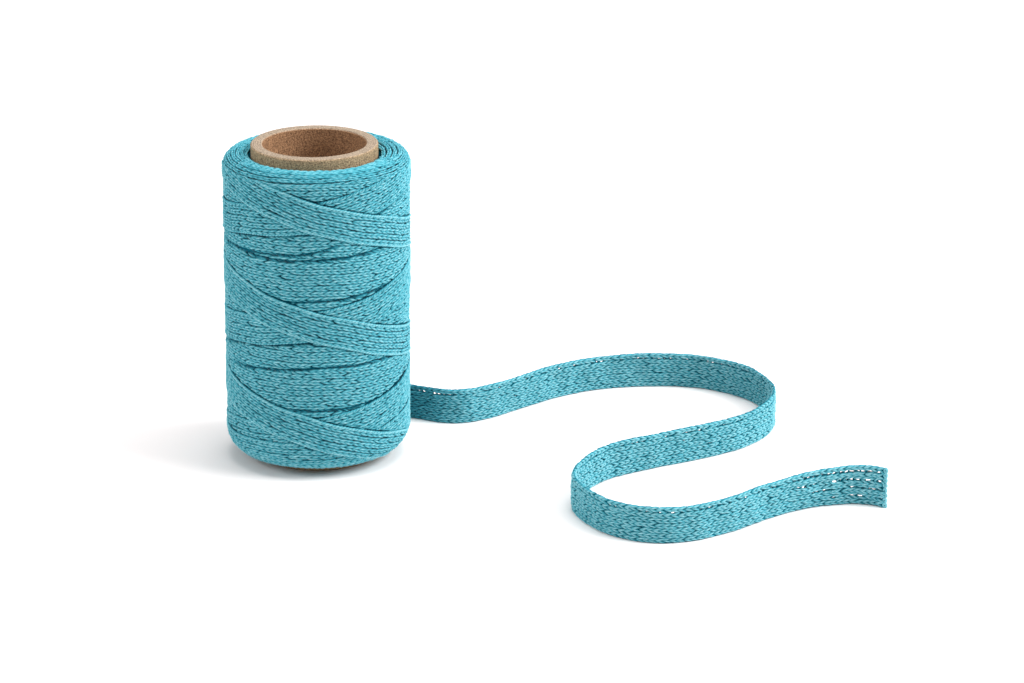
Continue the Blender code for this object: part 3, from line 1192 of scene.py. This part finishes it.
# the loops get one even value of painted light all over
LOOP_TONES, LOOP_PAINTED_LIGHT = (0.3, 0.9), 0.75
CUT_TURN = math.atan2(heading[-1, 1], heading[-1, 0])


def cut_loops():
    """Small loops in a row up the cut, each turned a little its own way."""
    bpy.ops.object.select_all(action="DESELECT")
    bpy.ops.mesh.primitive_torus_add(
        major_radius=LOOP_ROUND * MM,
        minor_radius=LOOP_YARN * MM,
        major_segments=12,
        minor_segments=6,
        rotation=(math.pi / 2, 0, 0),
    )
    bpy.ops.object.transform_apply()
    pattern = bpy.context.object
    loops = []
    for k in range(LOOP_COUNT):
        loop = pattern.copy()
        loop.data = pattern.data.copy()
        loop.name = f"cut_loop_{k + 1}"
        bpy.context.scene.collection.objects.link(loop)
        up = (k + 0.5) / LOOP_COUNT
        where = on_track(np.array(LOOSE_LONG - LOOP_BACK), np.array(up), np.array(0.0))
        turned = Matrix.Rotation(CUT_TURN + rng.normal(0, LOOP_TURNS), 4, "Z")
        stretched = Matrix.Diagonal((1.0, 1.0, rng.uniform(*LOOP_STRETCH), 1.0))
        loop.data.transform(Matrix.Translation(Vector(where)) @ turned @ stretched)
        for name, value in (("tone", rng.uniform(*LOOP_TONES)), ("painted_light", LOOP_PAINTED_LIGHT)):
            mark_points(loop.data, name, "FLOAT", "value", [value] * len(loop.data.vertices))
        loop.data.shade_smooth()
        loop.data.materials.append(stitch_cotton)
        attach(loop, "root")
        loops.append(loop)
    bpy.data.objects.remove(pattern)
    return loops


loops = cut_loops()
print(len(loops), "loops at the cut")

# %% [markdown]
# ## Stitches of the loose end
# The same V stitches cover both faces, seven wales across, since here the whole width
# of the ribbon shows. The side in the roll's shade gets deeper tones next to it.

# %% Both faces of the loose end
LOOSE_WALES = 7
LOOSE_WALE = RIBBON_WIDE / LOOSE_WALES
LOOSE_COURSE = 1.85
LOOSE_FORM = (1.5, 0.36, 0.65)
STITCHES_SHORT, TIPS_SHORT = 0.7, 0.4  # mm before the cut that stitches and tips end
FACE_OUT, EDGE_TURN = 0.30, 0.18  # mm off the middle, and how far the edges turn in
HIGHEST = 1.01  # share of the width
LOOSE_PALER, PALER_FROM, PALER_OVER = 0.5, 10, 50
SHADE_LEAST, SHADE_FROM, SHADE_OVER = 0.35, 40, 24
SHADE_TONE, SHADE_TONE_FROM = 0.5, 34


def knit_loose(name, face):
    """The stitches of one face of the loose end, 1 for its left and -1 for its right."""
    courses = int(LOOSE_LONG / LOOSE_COURSE) + 1
    legs, tones, painted_lit = strip(courses, LOOSE_WALES, LOOSE_WALE, LOOSE_COURSE, *LOOSE_FORM)
    keep = legs[..., 0].mean(axis=1) < LOOSE_LONG - STITCHES_SHORT
    legs, tones, painted_lit = legs[keep], tones[keep], painted_lit[keep]
    move_x, move_y = pulled_open(legs[..., 0], legs[..., 1])
    place = (legs[..., 1] + move_y) / RIBBON_WIDE + 0.5
    edge = np.clip(np.abs(place - 0.5) * 2, 0, 1)
    out = face * (FACE_OUT + legs[..., 2] - EDGE_TURN * edge**4)
    along = np.minimum(legs[..., 0] + move_x, LOOSE_LONG - TIPS_SHORT)
    placed = on_track(along, np.clip(place, 0.0, HIGHEST), out)
    from_start = legs[..., 0].mean(axis=1)
    tones = tones + LOOSE_PALER * ease((from_start - PALER_FROM) / PALER_OVER)
    if face < 0:
        tones = tones - SHADE_TONE * (1 - ease((from_start - SHADE_TONE_FROM) / SHADE_OVER))
        lit = SHADE_LEAST + (1 - SHADE_LEAST) * ease((from_start - SHADE_FROM) / SHADE_OVER)
        painted_lit = painted_lit * lit[:, None]
    piece = put_together(name, placed, tones, painted_lit, stitch_cotton)
    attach(piece, "root")
    return piece


left_stitches = knit_loose("loose_end_stitches_left", 1)
right_stitches = knit_loose("loose_end_stitches_right", -1)
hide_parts("loose_end")
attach(loose_ground, "root")

# %% [markdown]
# ## The core
# The tube is kraft board rolled from many layers: a browner bore, a pale cut rim with
# the layers as thin rings, and a greyer outside. All of it has the fine, even grain
# of pressed fibre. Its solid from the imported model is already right, so it only gets
# its board. The three colours part by distance from the axis, so that no faces need
# to be told apart.

# %% Board by distance from the axis
BOARD_BORE = (168, 127, 93)
BOARD_RIM = (158, 140, 121)
BOARD_OUTSIDE = (172, 146, 114)
RIM_FROM, RIM_TO, RIM_SOFT = 14.55, 17.45, 0.12  # mm from the axis
BOARD_ROUGHNESS, BOARD_SPECULAR = 0.85, 0.25


def board_colour(tree, centred):
    """Bore, rim or outside colour, by how far a point is from the axis."""
    flat = tree.nodes.new("ShaderNodeVectorMath")
    flat.operation = "MULTIPLY"
    flat.inputs[1].default_value = (1, 1, 0)
    tree.links.new(centred, flat.inputs[0])
    radius_of = tree.nodes.new("ShaderNodeVectorMath")
    radius_of.operation = "LENGTH"
    tree.links.new(flat.outputs["Vector"], radius_of.inputs[0])
    colour = None
    for edge, outer in ((RIM_FROM, BOARD_RIM), (RIM_TO, BOARD_OUTSIDE)):
        part = tree.nodes.new("ShaderNodeMapRange")
        part.inputs["From Min"].default_value = (edge - RIM_SOFT) * MM
        part.inputs["From Max"].default_value = (edge + RIM_SOFT) * MM
        tree.links.new(radius_of.outputs["Value"], part.inputs["Value"])
        mix = tree.nodes.new("ShaderNodeMix")
        mix.data_type = "RGBA"
        mix.inputs["A"].default_value = linear(BOARD_BORE)
        mix.inputs["B"].default_value = linear(outer)
        tree.links.new(part.outputs["Result"], mix.inputs["Factor"])
        if colour:
            tree.links.new(colour, mix.inputs["A"])
        colour = mix.outputs["Result"]
    return colour


print("rim from", RIM_FROM, "to", RIM_TO, "mm")

# %% Grain and layers of the board
GRAIN_SCALE, GRAIN_ROUGHNESS = 2600, 0.6
LAYER_SCALE, LAYER_BENT, LAYER_WEIGHT = 500, 1.5, 0.12
GRAIN_FROM, GRAIN_TO = 0.38, 0.72
GRAIN_DEEP, GRAIN_PALE = 0.42, 1.36
GRAIN_BUMP, GRAIN_RELIEF = 0.8, 0.2 * MM


def board_grain(tree, centred):
    """How much paler or deeper the board is at each point, with its relief."""
    layers = tree.nodes.new("ShaderNodeTexWave")
    layers.wave_type = "RINGS"
    layers.rings_direction = "Z"
    layers.inputs["Scale"].default_value = LAYER_SCALE
    layers.inputs["Distortion"].default_value = LAYER_BENT
    layers.inputs["Detail"].default_value = NOISE_DETAIL
    tree.links.new(centred, layers.inputs["Vector"])
    grain = noise(tree, GRAIN_SCALE, centred)
    grain.inputs["Roughness"].default_value = GRAIN_ROUGHNESS
    parts = ((grain.outputs["Fac"], 1.0), (layers.outputs["Fac"], LAYER_WEIGHT))
    depth = tree.nodes.new("ShaderNodeMapRange")
    depth.inputs["From Min"].default_value = GRAIN_FROM
    depth.inputs["From Max"].default_value = GRAIN_TO
    depth.inputs["To Min"].default_value = GRAIN_DEEP
    depth.inputs["To Max"].default_value = GRAIN_PALE
    tree.links.new(weighted_sum(tree, 0.0, parts), depth.inputs["Value"])
    add_bump(tree, grain.outputs["Fac"], GRAIN_BUMP, GRAIN_RELIEF)
    return depth.outputs["Result"]


print("grain scale", GRAIN_SCALE, "and layer scale", LAYER_SCALE)

# %% Kraft board on the core
board, tree = new_material("kraft_tube_board", BOARD_ROUGHNESS, BOARD_SPECULAR)
where = tree.nodes.new("ShaderNodeTexCoord")
centre = tree.nodes.new("ShaderNodeMapping")
centre.inputs["Location"].default_value = tuple(-AXIS)
tree.links.new(where.outputs["Object"], centre.inputs["Vector"])
centred = centre.outputs["Vector"]
shade = tree.nodes.new("ShaderNodeVectorMath")
shade.operation = "SCALE"
tree.links.new(board_colour(tree, centred), shade.inputs[0])
tree.links.new(board_grain(tree, centred), shade.inputs["Scale"])
tree.links.new(shade.outputs["Vector"], tree.nodes["Principled BSDF"].inputs["Base Color"])
for slot in bpy.data.objects["core_tube"].material_slots:
    slot.material = board
print("core tube is", round((core_high[2] - core_low[2]) / MM, 1), "mm tall")
